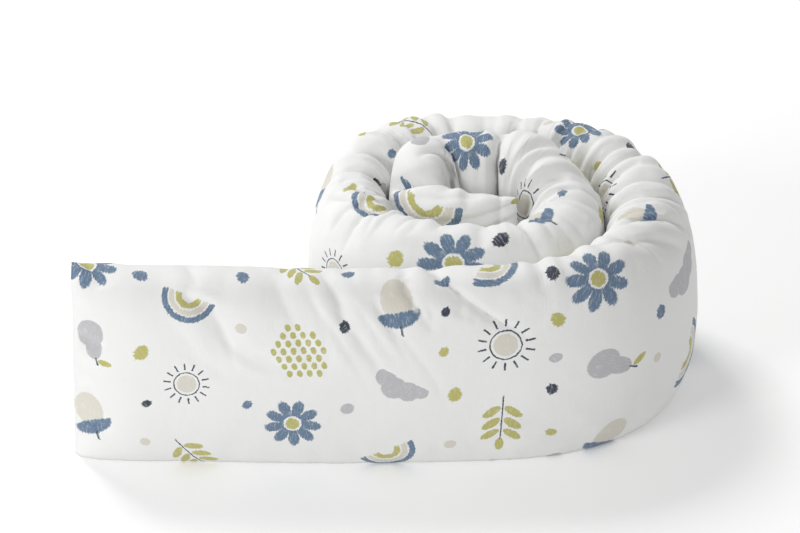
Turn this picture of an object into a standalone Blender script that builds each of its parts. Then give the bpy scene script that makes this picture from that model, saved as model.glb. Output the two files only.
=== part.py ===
"""Rolled crib bumper: one long stuffed tube of cotton that stands on its long edge.

It is wound into a loose spiral of about two and a half turns, with its outer end laid out straight.
Metres, +Z up, the floor at z = 0. Seen from above the route runs anticlockwise, from the outer end
seam inwards, so the outer side of each bend is on the right of the way it runs.
"""

import math
from collections import namedtuple

import bmesh
import bpy
import numpy as np

# Sizes of the stuffed tube.
END_SEAM = 0.006  # thickness of the two sewn end seams
END_RISE = 0.080  # length over which an end swells from its seam to full thickness
SQUARENESS = 2.45  # exponent of the section: 2 is an ellipse, more is boxier
SINK = 0.007  # how far the section's round underside is pressed flat by the floor
INNER_ROOM = 0.005  # what is left of a bend's radius inside the squeezed inner side of the tube
FOLD_REACH = 0.112  # how far from the crest the folds end, clear of where two turns touch
FOLD_FADE = 0.03  # length over which folds die out, there and at the end seams

RINGS = 196  # sections along the tube
AROUND = 30  # points around a section
FINE_STEPS = 3600  # steps in which the route is integrated
SMOOTHING = 0.07  # length over which one bend eases into the next
CROWDING = 0.012  # how far rings move towards the nearer end seam at most, as a share of the length
SECTION_STEPS = 4000  # steps in which the section's outline is measured
SLENDERNESS = 2.5  # about how many times taller than wide the section is, to space its points evenly

# The route seen from above: each row is a stretch of the tube's middle line.
START_HEADING = math.radians(-2.3)
Stretch = namedtuple("Stretch", "length turn_deg")
ROUTE = (
    Stretch(0.200, 0),  # laid-out end
    Stretch(0.247, 8.3),  # laid-out end, easing back
    Stretch(0.491, 174),  # outer turn, right-hand bend
    Stretch(0.036, 0),
    Stretch(0.380, 180),  # outer turn, left-hand bend
    Stretch(0.028, 0),
    Stretch(0.242, 180),  # inner turn, right-hand bend
    Stretch(0.031, 0),
    Stretch(0.117, 180),  # inner turn, doubled back on itself
    Stretch(0.059, 0),  # inner end
)

# How thick and how tall the tube stands along its length, and how far its crest leans inwards.
Station = namedtuple("Station", "along thickness height lean")
STATIONS = (
    Station(0.00, 0.086, 0.215, 0.014),
    Station(0.05, 0.086, 0.210, 0.006),
    Station(0.12, 0.086, 0.212, 0.000),
    Station(0.30, 0.084, 0.211, 0.000),
    Station(0.46, 0.083, 0.211, 0.003),
    Station(0.60, 0.091, 0.212, 0.011),
    Station(0.70, 0.092, 0.213, 0.008),
    Station(0.81, 0.089, 0.219, 0.004),
    Station(0.95, 0.081, 0.212, 0.000),
    Station(1.05, 0.079, 0.219, 0.004),
    Station(1.17, 0.079, 0.213, 0.012),
    Station(1.39, 0.078, 0.212, 0.002),
    Station(1.51, 0.086, 0.216, 0.003),
    Station(1.62, 0.079, 0.237, 0.000),
    Station(1.69, 0.074, 0.235, 0.000),
    Station(1.76, 0.069, 0.213, 0.000),
    Station(1.84, 0.069, 0.207, 0.000),
)

# The main folds of the cover: each is a valley along a straight line on the cover, measured along
# the tube and around it from the crest, outer side positive. It swells a little on both sides.
Fold = namedtuple("Fold", "along_from around_from along_to around_to depth half_width")
FOLDS = (
    # laid-out end: corner pinch, soft slanting folds and one sharp crease on the front
    Fold(0.020, -0.030, 0.050, 0.035, 0.005, 0.014),
    Fold(0.118, -0.020, 0.142, 0.062, 0.004, 0.012),
    Fold(0.190, -0.010, 0.262, 0.085, 0.004, 0.014),
    Fold(0.228, -0.005, 0.288, 0.130, 0.005, 0.016),
    Fold(0.356, -0.010, 0.441, 0.078, 0.006, 0.011),
    # outer turn, right-hand bend: gathers that fan over the crest from its inner side
    Fold(0.565, -0.085, 0.596, 0.030, 0.006, 0.015),
    Fold(0.631, -0.100, 0.651, 0.060, 0.008, 0.015),
    Fold(0.686, -0.100, 0.694, 0.040, 0.008, 0.014),
    Fold(0.741, -0.100, 0.734, 0.050, 0.008, 0.015),
    Fold(0.791, -0.100, 0.784, 0.035, 0.008, 0.014),
    Fold(0.839, -0.090, 0.833, 0.040, 0.006, 0.014),
    Fold(0.875, -0.100, 0.887, 0.010, 0.009, 0.014),
    # outer turn, left-hand bend
    Fold(0.999, -0.085, 1.014, 0.020, 0.005, 0.015),
    Fold(1.048, -0.100, 1.062, -0.012, 0.009, 0.014),
    Fold(1.105, -0.100, 1.109, 0.030, 0.008, 0.014),
    Fold(1.155, -0.100, 1.157, 0.035, 0.007, 0.014),
    Fold(1.207, -0.105, 1.197, 0.060, 0.010, 0.014),
    Fold(1.253, -0.095, 1.243, 0.030, 0.008, 0.015),
    Fold(1.306, -0.060, 1.286, 0.025, 0.005, 0.014),
    # inner turn, right-hand bend
    Fold(1.423, -0.080, 1.448, 0.020, 0.005, 0.014),
    Fold(1.475, -0.100, 1.485, 0.030, 0.007, 0.014),
    Fold(1.531, -0.100, 1.529, 0.020, 0.007, 0.014),
    Fold(1.575, -0.090, 1.571, 0.015, 0.006, 0.013),
    # the deep crease at the back of the middle, and the doubled-back end
    Fold(1.619, -0.108, 1.613, 0.008, 0.014, 0.013),
    Fold(1.683, -0.090, 1.673, 0.030, 0.006, 0.013),
    Fold(1.696, 0.060, 1.751, 0.012, 0.006, 0.013),
    Fold(1.781, 0.012, 1.825, 0.050, 0.004, 0.011),
)


def route(length_along):
    """Middle line on the floor, heading and curvature at each distance along it."""
    total = sum(row.length for row in ROUTE)
    fine = np.linspace(0, total, FINE_STEPS)
    ends = np.cumsum([row.length for row in ROUTE])
    curvature = np.array([math.radians(row.turn_deg) / row.length for row in ROUTE])
    bend = curvature[np.minimum(np.searchsorted(ends, fine), len(ROUTE) - 1)]
    window = max(3, round(SMOOTHING / total * FINE_STEPS))
    kernel = np.hanning(window + 2)[1:-1]
    padded = np.pad(bend, window, mode="edge")
    bend = np.convolve(padded, kernel / kernel.sum(), mode="same")[window:-window]
    step = fine[1] - fine[0]
    turned = np.concatenate([[0], np.cumsum((bend[1:] + bend[:-1]) / 2) * step])
    heading = START_HEADING + turned
    halfway = (heading[1:] + heading[:-1]) / 2
    x = np.concatenate([[0], np.cumsum(np.cos(halfway)) * step])
    y = np.concatenate([[0], np.cumsum(np.sin(halfway)) * step])
    return tuple(np.interp(length_along, fine, values) for values in (x, y, heading, bend))


def section(points):
    """Unit section, half height and half width 1: a superellipse in equal steps from its crest."""
    angle = np.linspace(0, 2 * math.pi, SECTION_STEPS + 1)
    across = np.sign(np.sin(angle)) * np.abs(np.sin(angle)) ** (2 / SQUARENESS)
    up = np.sign(np.cos(angle)) * np.abs(np.cos(angle)) ** (2 / SQUARENESS)
    edge = np.concatenate([[0], np.cumsum(np.hypot(np.diff(across), SLENDERNESS * np.diff(up)))])
    wanted = np.linspace(0, edge[-1], points, endpoint=False)
    return np.interp(wanted, edge, across), np.interp(wanted, edge, up)


def ring_places(rings):
    """Distance along the tube of each ring, closer together near the end seams."""
    share = np.linspace(0, 1, rings)
    return sum(row.length for row in ROUTE) * (share - CROWDING * np.sin(2 * math.pi * share))


def plain_surface(along, around):
    """Points of the unfolded tube, one ring of the section after another, as (rings, around, 3)."""
    x, y, heading, bend = route(along)
    across, up = section(around)
    knots = [row.along for row in STATIONS]
    thickness = np.interp(along, knots, [row.thickness for row in STATIONS])
    height = np.interp(along, knots, [row.height for row in STATIONS])
    lean = np.interp(along, knots, [row.lean for row in STATIONS])
    from_end = np.clip(np.minimum(along, along[-1] - along) / END_RISE, 0, 1)
    swell = np.sqrt(1 - (1 - from_end) ** 2)
    outer = END_SEAM / 2 + (thickness - END_SEAM) / 2 * swell
    inner = np.minimum(outer, 1 / np.maximum(bend, 1e-6) - INNER_ROOM)
    side = np.where(across > 0, np.outer(outer, across), np.outer(inner, across))
    z = np.outer((height + SINK) / 2, up) + ((height - SINK) / 2)[:, None]
    side -= lean[:, None] * (z / height[:, None] - 0.5)
    points = np.empty((len(along), around, 3))
    points[..., 0] = x[:, None] + side * np.sin(heading)[:, None]
    points[..., 1] = y[:, None] - side * np.cos(heading)[:, None]
    points[..., 2] = np.maximum(z, 0)
    return points


def distance_around(points):
    """Distance of each point around its ring from the crest, outer side positive, inner negative."""
    edges = np.linalg.norm(np.roll(points, -1, axis=1) - points, axis=2)
    reached = np.cumsum(edges, axis=1) - edges
    whole = edges.sum(axis=1, keepdims=True)
    return np.where(reached <= whole / 2, reached, reached - whole)


def fold_depth(along, around):
    """How far each point of the cover is drawn in by the folds.

    Across a fold it is depth (1 - u^2 / 2) exp(-u^2 / 2), u the distance from its line in half
    widths. Along a fold it tapers to both ends as the square root of a sine.
    """
    total = np.zeros(np.broadcast(along, around).shape)
    for row in FOLDS:
        run = np.array([row.along_to - row.along_from, row.around_to - row.around_from])
        length = np.hypot(*run)
        way = run / length
        from_start = (along - row.along_from) * way[0] + (around - row.around_from) * way[1]
        sideways = ((around - row.around_from) * way[0] - (along - row.along_from) * way[1]) / row.half_width
        taper = np.sqrt(np.sin(math.pi * np.clip(from_start / length, 0, 1)))
        total += row.depth * (1 - sideways**2 / 2) * np.exp(-(sideways**2) / 2) * taper
    return total * np.clip((FOLD_REACH - np.abs(around)) / FOLD_FADE, 0, 1)


def surface(rings, around):
    """The tube with its folds pressed in along the surface's own inward direction."""
    along = ring_places(rings)
    points = plain_surface(along, around)
    down_the_tube = np.gradient(points, axis=0)
    round_it = np.roll(points, -1, axis=1) - np.roll(points, 1, axis=1)
    outward = np.cross(round_it, down_the_tube)
    outward /= np.maximum(np.linalg.norm(outward, axis=2, keepdims=True), 1e-12)
    depth = fold_depth(along[:, None], distance_around(points))
    near_end = np.clip(np.minimum(along, along[-1] - along) / FOLD_FADE, 0, 1)
    return points - outward * (depth * near_end[:, None])[..., None]


def tube_mesh(name, points):
    """Closed mesh of the rings: quads between neighbours, and one face over each end seam."""
    rings, around = points.shape[:2]
    ring, spot = np.meshgrid(np.arange(rings - 1), np.arange(around), indexing="ij")
    here = ring * around + spot
    beside = ring * around + (spot + 1) % around
    quads = np.stack([here, beside, beside + around, here + around], axis=-1).reshape(-1, 4)
    caps = [list(range(around))[::-1], list(range((rings - 1) * around, rings * around))]
    mesh = bpy.data.meshes.new(name)
    mesh.from_pydata(points.reshape(-1, 3).tolist(), [], quads.tolist() + caps)
    shell = bmesh.new()
    shell.from_mesh(mesh)
    bmesh.ops.recalc_face_normals(shell, faces=shell.faces)
    shell.to_mesh(mesh)
    shell.free()
    return mesh


def cotton():
    """Plain stand-in for the printed cotton."""
    material = bpy.data.materials.new("cotton")
    material.use_nodes = True
    shader = material.node_tree.nodes["Principled BSDF"]
    shader.inputs["Base Color"].default_value = (0.86, 0.86, 0.84, 1)
    shader.inputs["Roughness"].default_value = 0.85
    return material


def main():
    for item in list(bpy.data.objects):
        bpy.data.objects.remove(item)
    group = bpy.data.collections.new("crib_bumper")
    bpy.context.scene.collection.children.link(group)
    points = surface(RINGS, AROUND)
    middle = (points.reshape(-1, 3).min(axis=0) + points.reshape(-1, 3).max(axis=0)) / 2
    points[..., :2] -= middle[:2]
    mesh = tube_mesh("bumper", points)
    mesh.materials.append(cotton())
    mesh.shade_smooth()
    group.objects.link(bpy.data.objects.new("bumper", mesh))


main()
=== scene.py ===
"""Dresses the rolled crib bumper: a stuffed cotton cover with its print, floor, light and camera.

Metres, +Z up, the floor at z = 0, in the part's own frame. A place on the cover is two numbers: the
distance along the tube's middle line from the outer end seam, and the distance around the tube from
its crest, outer side positive and inner side negative.
"""

import math
from collections import namedtuple

import bpy
import numpy as np
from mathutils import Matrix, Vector


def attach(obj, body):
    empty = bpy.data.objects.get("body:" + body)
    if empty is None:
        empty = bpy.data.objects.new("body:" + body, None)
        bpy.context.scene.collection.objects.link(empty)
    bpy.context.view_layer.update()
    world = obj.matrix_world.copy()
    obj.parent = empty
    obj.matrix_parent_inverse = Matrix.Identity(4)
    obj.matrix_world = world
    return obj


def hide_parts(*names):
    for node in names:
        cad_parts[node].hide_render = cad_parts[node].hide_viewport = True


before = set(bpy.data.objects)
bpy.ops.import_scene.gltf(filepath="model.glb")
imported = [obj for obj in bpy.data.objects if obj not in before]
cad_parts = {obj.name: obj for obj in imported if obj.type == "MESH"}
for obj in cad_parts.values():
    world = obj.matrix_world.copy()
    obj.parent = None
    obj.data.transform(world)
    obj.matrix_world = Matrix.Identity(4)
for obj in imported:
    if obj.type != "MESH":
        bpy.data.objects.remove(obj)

# The stuffed tube, with the same values as the solid.
END_SEAM = 0.006  # thickness at the two sewn end seams
END_RISE = 0.080  # length over which an end swells from its seam to full thickness
SQUARENESS = 2.45  # exponent of the section: 2 is an ellipse, more is boxier
SINK = 0.007  # how far the section's round underside is pressed flat by the floor
INNER_ROOM = 0.005  # what is left of a bend's radius inside the squeezed inner side of the tube
SEAM_FADE = 0.03  # length from an end seam over which the cloth's unevenness grows
CREASE_WIDTH = 0.0030  # distance over which a narrow crease falls to under half its depth
SLENDERNESS = 2.5  # about how many times taller than wide the section is, to measure its outline
MIDDLE_OF_ROLL = (0.3187797, 0.1562026)  # middle of the roll, from where the route starts

FINE_STEPS = 3600  # steps in which the route is integrated
SMOOTHING = 0.07  # length over which one bend eases into the next
SECTION_STEPS = 8000  # steps in which the section's outline is measured

# The route seen from above: each row is a stretch of the tube's middle line.
START_HEADING = math.radians(-2.3)
Stretch = namedtuple("Stretch", "length turn_deg")
ROUTE = (
    Stretch(0.200, 0),  # laid-out end
    Stretch(0.247, 8.3),  # laid-out end, easing back
    Stretch(0.491, 174),  # outer turn, right-hand bend
    Stretch(0.036, 0),
    Stretch(0.380, 180),  # outer turn, left-hand bend
    Stretch(0.028, 0),
    Stretch(0.242, 180),  # inner turn, right-hand bend
    Stretch(0.031, 0),
    Stretch(0.117, 180),  # inner turn, doubled back on itself
    Stretch(0.059, 0),  # inner end
)
TUBE_LENGTH = sum(row.length for row in ROUTE)

# How thick and how tall the tube stands along its length, and how far its crest leans inwards.
Station = namedtuple("Station", "along thickness height lean")
STATIONS = (
    Station(0.00, 0.086, 0.215, 0.014),
    Station(0.05, 0.086, 0.210, 0.006),
    Station(0.12, 0.086, 0.212, 0.000),
    Station(0.30, 0.084, 0.211, 0.000),
    Station(0.46, 0.083, 0.211, 0.003),
    Station(0.60, 0.091, 0.212, 0.011),
    Station(0.70, 0.092, 0.213, 0.008),
    Station(0.81, 0.089, 0.219, 0.004),
    Station(0.95, 0.081, 0.212, 0.000),
    Station(1.05, 0.079, 0.219, 0.004),
    Station(1.17, 0.079, 0.213, 0.012),
    Station(1.39, 0.078, 0.212, 0.002),
    Station(1.51, 0.086, 0.216, 0.003),
    Station(1.62, 0.079, 0.237, 0.000),
    Station(1.69, 0.074, 0.235, 0.000),
    Station(1.76, 0.069, 0.213, 0.000),
    Station(1.84, 0.069, 0.207, 0.000),
)

# A fold of the cover is a valley along a line on it. bow is how far the line's middle is pushed to
# its right, and crisp how deep a narrow crease is drawn along its bottom after the simulation. In a
# tuck the cloth on one side dips under the other: tuck is 1 to dip on its left and -1 on its right.
Fold = namedtuple(
    "Fold", "along_from around_from along_to around_to depth half_width bow crisp tuck", defaults=(0.0,)
)
FOLDS = (
    # outer end: a pinch below the seam's upper corner, and short creases into the seam
    Fold(0.008, -0.010, 0.030, 0.030, 0.007, 0.011, 0.002, 0.0016),
    Fold(0.000, 0.074, 0.034, 0.090, 0.003, 0.006, -0.004, 0.0022),
    Fold(0.000, 0.142, 0.022, 0.134, 0.002, 0.006, 0.002, 0.0010),
    Fold(0.000, 0.172, 0.038, 0.188, 0.003, 0.007, 0.002, 0.0016),
    # laid-out length: long soft bands that slant down the front from the crest
    Fold(0.084, 0.004, 0.098, 0.056, 0.003, 0.014, 0.000, 0.0000),
    Fold(0.114, -0.012, 0.128, 0.024, 0.003, 0.007, 0.000, 0.0016),
    Fold(0.113, 0.029, 0.143, 0.047, 0.005, 0.006, -0.003, 0.0040),
    Fold(0.136, 0.036, 0.166, 0.112, 0.007, 0.010, 0.004, 0.0020),
    Fold(0.198, 0.002, 0.242, 0.116, 0.009, 0.012, 0.004, 0.0008),
    Fold(0.226, -0.006, 0.262, 0.104, 0.004, 0.009, 0.004, 0.0008),
    Fold(0.250, 0.002, 0.276, 0.062, 0.005, 0.006, 0.003, 0.0036),
    Fold(0.264, 0.044, 0.314, 0.120, 0.008, 0.010, 0.003, 0.0010),
    Fold(0.298, 0.030, 0.340, 0.110, 0.003, 0.009, 0.003, 0.0010),
    Fold(0.322, -0.036, 0.336, 0.012, 0.002, 0.010, 0.000, 0.0000),
    # laid-out length: shallow slack along its lower edge
    Fold(0.150, 0.205, 0.196, 0.190, 0.002, 0.009, 0.003, 0.0000),
    Fold(0.300, 0.208, 0.352, 0.186, 0.003, 0.008, 0.003, 0.0008),
    Fold(0.398, 0.210, 0.470, 0.170, 0.003, 0.008, -0.004, 0.0012),
    # laid-out length: the long crease on its front, and a soft one beyond it
    Fold(0.354, -0.024, 0.456, 0.078, 0.006, 0.011, -0.012, 0.0062, 0.4),
    Fold(0.484, -0.050, 0.552, 0.058, 0.002, 0.010, 0.005, 0.0006),
    # outer turn, right-hand bend: gathers that fan out from its squeezed inner side
    Fold(0.534, -0.085, 0.562, 0.004, 0.003, 0.007, 0.003, 0.0022),
    Fold(0.564, -0.095, 0.592, -0.016, 0.004, 0.007, 0.003, 0.0030),
    Fold(0.542, -0.012, 0.644, 0.062, 0.004, 0.008, 0.006, 0.0034, 0.4),
    Fold(0.588, -0.034, 0.674, 0.062, 0.006, 0.008, 0.006, 0.0046, 0.4),
    Fold(0.616, -0.100, 0.650, 0.020, 0.005, 0.007, -0.004, 0.0036),
    Fold(0.660, -0.110, 0.690, 0.072, 0.006, 0.007, -0.014, 0.0044),
    Fold(0.690, -0.110, 0.676, -0.010, 0.006, 0.007, -0.006, 0.0036),
    Fold(0.716, -0.108, 0.704, 0.056, 0.009, 0.008, -0.028, 0.0048, 0.3),
    Fold(0.738, -0.108, 0.718, 0.052, 0.008, 0.008, -0.014, 0.0046, 0.3),
    Fold(0.752, -0.110, 0.742, 0.000, 0.005, 0.006, -0.008, 0.0030),
    Fold(0.776, -0.106, 0.788, 0.050, 0.009, 0.008, -0.020, 0.0048, 0.3),
    Fold(0.791, -0.110, 0.784, 0.040, 0.010, 0.009, -0.003, 0.0040),
    Fold(0.814, -0.105, 0.806, 0.062, 0.005, 0.006, 0.002, 0.0022),
    Fold(0.839, -0.105, 0.831, 0.036, 0.008, 0.008, -0.003, 0.0034),
    Fold(0.858, -0.110, 0.852, -0.004, 0.009, 0.007, 0.002, 0.0042),
    Fold(0.878, -0.110, 0.889, 0.014, 0.010, 0.008, 0.004, 0.0046),
    Fold(0.905, -0.095, 0.912, 0.028, 0.005, 0.008, 0.000, 0.0018),
    Fold(0.938, -0.080, 0.950, 0.012, 0.004, 0.010, 0.003, 0.0012),
    # outer turn, left-hand bend
    Fold(0.975, -0.080, 0.990, 0.026, 0.004, 0.009, 0.000, 0.0014),
    Fold(0.999, -0.090, 1.016, 0.014, 0.006, 0.008, -0.003, 0.0024),
    Fold(1.024, -0.100, 1.042, 0.030, 0.005, 0.007, 0.003, 0.0024),
    Fold(1.048, -0.110, 1.066, -0.006, 0.010, 0.008, -0.003, 0.0044),
    Fold(1.070, -0.106, 1.126, 0.034, 0.008, 0.007, -0.002, 0.0044, 0.3),
    Fold(1.090, -0.105, 1.108, -0.004, 0.005, 0.006, 0.000, 0.0026),
    Fold(1.105, -0.110, 1.111, 0.040, 0.009, 0.008, 0.002, 0.0036),
    Fold(1.130, -0.108, 1.133, 0.020, 0.006, 0.006, 0.002, 0.0028),
    Fold(1.155, -0.110, 1.157, 0.046, 0.008, 0.008, -0.002, 0.0034),
    Fold(1.176, -0.108, 1.172, 0.010, 0.006, 0.006, 0.000, 0.0026),
    Fold(1.207, -0.112, 1.202, -0.010, 0.010, 0.008, 0.003, 0.0048),
    Fold(1.180, 0.012, 1.252, -0.030, 0.004, 0.006, 0.003, 0.0044, 0.5),
    Fold(1.186, 0.032, 1.266, -0.006, 0.005, 0.007, 0.004, 0.0044, 0.5),
    Fold(1.228, -0.105, 1.222, -0.030, 0.006, 0.007, 0.002, 0.0026),
    Fold(1.253, -0.105, 1.238, 0.066, 0.009, 0.008, 0.004, 0.0034),
    Fold(1.282, -0.090, 1.264, 0.042, 0.006, 0.009, 0.003, 0.0020),
    Fold(1.306, -0.060, 1.290, 0.016, 0.005, 0.008, 0.000, 0.0020),
    Fold(1.336, -0.050, 1.326, 0.012, 0.004, 0.009, 0.000, 0.0012),
    Fold(1.368, -0.040, 1.384, 0.016, 0.003, 0.009, 0.003, 0.0012),
    # inner turn, right-hand bend: long gathers that curve over the crest
    Fold(1.400, -0.060, 1.424, 0.040, 0.004, 0.009, 0.003, 0.0014),
    Fold(1.423, -0.085, 1.450, 0.058, 0.006, 0.008, 0.005, 0.0026),
    Fold(1.447, -0.100, 1.470, 0.030, 0.005, 0.006, 0.003, 0.0022),
    Fold(1.475, -0.110, 1.494, 0.066, 0.009, 0.008, 0.004, 0.0038),
    Fold(1.496, -0.108, 1.506, 0.016, 0.005, 0.006, 0.000, 0.0022),
    Fold(1.531, -0.110, 1.523, 0.044, 0.008, 0.009, -0.002, 0.0036),
    Fold(1.580, -0.112, 1.546, 0.034, 0.004, 0.008, 0.004, 0.0036),
    Fold(1.600, -0.108, 1.572, 0.014, 0.003, 0.008, 0.003, 0.0032),
    # the deep crease at the back of the middle
    Fold(1.609, -0.130, 1.612, 0.020, 0.016, 0.006, 0.002, 0.0140, 0.3),
    Fold(1.636, -0.070, 1.628, 0.010, 0.003, 0.010, 0.002, 0.0008),
    # the doubled-back end: a lapped fold and a narrow pleat over its crest
    Fold(1.688, 0.020, 1.654, -0.094, 0.004, 0.009, 0.005, 0.0085, -0.8),
    Fold(1.714, 0.004, 1.668, -0.056, 0.003, 0.006, 0.003, 0.0050, -0.5),
    # the tuck behind the doubled-back end's sharp top edge, and long folds into its flat seam
    Fold(1.712, 0.054, 1.751, -0.020, 0.009, 0.010, 0.000, 0.0130, -0.9),
    Fold(1.752, -0.018, 1.850, -0.006, 0.005, 0.010, 0.000, 0.0034, -1.0),
    Fold(1.744, 0.040, 1.842, 0.000, 0.005, 0.007, -0.004, 0.0050, 0.5),
    Fold(1.768, 0.052, 1.840, 0.014, 0.004, 0.006, -0.003, 0.0044, 0.5),
    Fold(1.740, 0.024, 1.796, 0.002, 0.002, 0.009, 0.003, 0.0020),
    Fold(1.815, -0.010, 1.811, 0.060, 0.001, 0.005, 0.003, 0.0028, 0.6),
)

# Thin creases between the gathers of a bend, drawn by chance: how many, between which distances
# along, and how far they run on along the tube for each metre around at the first and the last.
Creasing = namedtuple("Creasing", "count along_from along_to lean_from lean_to")
THIN_CREASES = (
    Creasing(14, 0.560, 0.720, 0.45, 0.10),  # outer turn, right-hand bend, its front
    Creasing(24, 0.720, 0.950, 0.10, -0.10),  # the same, its back
    Creasing(28, 0.980, 1.300, 0.35, -0.15),  # outer turn, left-hand bend
    Creasing(16, 1.400, 1.540, 0.25, -0.05),  # inner turn, right-hand bend
    Creasing(8, 1.545, 1.600, -0.30, -0.35),
    Creasing(7, 1.655, 1.715, -0.10, -0.30),  # the doubled-back end
    Creasing(5, 0.230, 0.330, 0.50, 0.70),  # laid-out length
)
THIN_SEED = 11
THIN_TILT = 0.12  # how much chance adds to or takes from that lean
THIN_LOW = (-0.115, -0.030)  # distance around of a thin crease's inner end, in a bend
THIN_LOW_STRAIGHT = (-0.020, 0.050)  # the same on the laid-out length
STRAIGHT_TO = 0.5  # where the laid-out length ends
THIN_REACH = (0.045, 0.130)  # how far one runs around the tube
THIN_BOW = (-0.004, 0.006)
THIN_CRISP = (0.0010, 0.0030)
THIN_TUCKS = (-0.8, -0.4, 0.8)

# Places where the stuffing rounds the cover out beyond the plain tube.
Swell = namedtuple("Swell", "along around reach_along reach_around height")
SWELLS = (
    Swell(1.700, 0.046, 0.030, 0.060, 0.012),  # the doubled-back end's rounded top
    Swell(1.640, -0.040, 0.022, 0.060, 0.004),  # the smooth panel beside it
    Swell(1.576, 0.000, 0.032, 0.060, 0.011),  # the roll beyond the deep crease
    Swell(1.485, 0.048, 0.085, 0.036, 0.011),  # shoulders that lean on the next turn
    Swell(0.730, -0.052, 0.130, 0.036, 0.010),
    Swell(1.150, -0.050, 0.130, 0.034, 0.008),
)

# The fine grid of the finished cover and the coarser grid of the simulation.
COVER_RINGS = 900
COVER_AROUND = 132
CLOTH_RINGS = 540
CLOTH_AROUND = 90
CLOSER_IN_BENDS = 0.9  # how much denser the rings are in the tight bends, as a share
CLOSER_AT_ENDS = 3.0  # the same at the two end seams
END_CROWD = 0.008  # length from an end seam over which that falls to a third
TIGHT_BEND = 0.11  # a bend of this radius or less counts as tight
CREST_FOCUS = 0.35  # how much closer the points are at the crest than halfway down, as a share


def running_sum(values):
    """Running sum of values, from 0, each step the mean of its two ends."""
    return np.concatenate([[0], np.cumsum((values[1:] + values[:-1]) / 2)])


def radius_of(bend):
    """Radius of a bend. A straight length counts as a very wide bend."""
    return 1 / np.maximum(bend, 1e-6)


def to_nearer_end(along):
    """Distance along the tube to the nearer of its end seams."""
    return np.minimum(along, TUBE_LENGTH - along)


def route(length_along):
    """Middle line on the floor, heading and curvature at each distance along it.

    The curvature is constant on each stretch and smoothed with a raised cosine. Its running sum is
    the heading, and the running sum of (cosine, sine) of the heading is the line.
    """
    fine = np.linspace(0, TUBE_LENGTH, FINE_STEPS)
    ends = np.cumsum([row.length for row in ROUTE])
    curvature = np.array([math.radians(row.turn_deg) / row.length for row in ROUTE])
    bend = curvature[np.minimum(np.searchsorted(ends, fine), len(ROUTE) - 1)]
    window = max(3, round(SMOOTHING / TUBE_LENGTH * FINE_STEPS))
    kernel = np.hanning(window + 2)[1:-1]
    padded = np.pad(bend, window, mode="edge")
    bend = np.convolve(padded, kernel / kernel.sum(), mode="same")[window:-window]
    step = fine[1] - fine[0]
    heading = START_HEADING + running_sum(bend) * step
    halfway = (heading[1:] + heading[:-1]) / 2
    x = np.concatenate([[0], np.cumsum(np.cos(halfway)) * step]) - MIDDLE_OF_ROLL[0]
    y = np.concatenate([[0], np.cumsum(np.sin(halfway)) * step]) - MIDDLE_OF_ROLL[1]
    return tuple(np.interp(length_along, fine, values) for values in (x, y, heading, bend))


def section(share):
    """Unit section, half height and half width 1, at shares of its outline from its crest.

    A superellipse: the signed sine and cosine of an angle, each to the power 2 / SQUARENESS.
    """
    angle = np.linspace(0, 2 * math.pi, SECTION_STEPS + 1)
    across = np.sign(np.sin(angle)) * np.abs(np.sin(angle)) ** (2 / SQUARENESS)
    up = np.sign(np.cos(angle)) * np.abs(np.cos(angle)) ** (2 / SQUARENESS)
    edge = np.concatenate([[0], np.cumsum(np.hypot(np.diff(across), SLENDERNESS * np.diff(up)))])
    reached = edge / edge[-1]
    return np.interp(share, reached, across), np.interp(share, reached, up)


def ring_places(rings):
    """Distance along the tube of each ring, where the running sum of their density is even.

    The density is 1 + CLOSER_IN_BENDS * TIGHT_BEND * bend + CLOSER_AT_ENDS * exp(-distance to end).
    """
    fine = np.linspace(0, TUBE_LENGTH, FINE_STEPS)
    density = 1 + CLOSER_IN_BENDS * np.clip(TIGHT_BEND * route(fine)[3], 0, 1)
    density = density + CLOSER_AT_ENDS * np.exp(-to_nearer_end(fine) / END_CROWD)
    counted = running_sum(density)
    return np.interp(np.linspace(0, counted[-1], rings), counted, fine)


def outline_shares(points):
    """Shares of the section's outline: even steps, less a sine that crowds the crest."""
    even = np.arange(points) / points
    return even - CREST_FOCUS * np.sin(2 * math.pi * even) / (2 * math.pi)


def eased(where, knots, values):
    """A cubic through the stations that never overshoots: slopes are harmonic means of both sides'."""
    gaps = np.diff(knots)
    rises = np.diff(values) / gaps
    slopes = np.zeros(len(knots))
    same_way = rises[1:] * rises[:-1] > 0
    both = np.where(same_way, rises[1:] + rises[:-1], 1)
    slopes[1:-1] = np.where(same_way, 2 * rises[1:] * rises[:-1] / both, 0)
    row = np.clip(np.searchsorted(knots, where) - 1, 0, len(gaps) - 1)
    t = (where - knots[row]) / gaps[row]
    start = (1 + 2 * t) * (1 - t) ** 2 * values[row] + t * (1 - t) ** 2 * gaps[row] * slopes[row]
    end = t * t * (3 - 2 * t) * values[row + 1] + t * t * (t - 1) * gaps[row] * slopes[row + 1]
    return start + end


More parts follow.
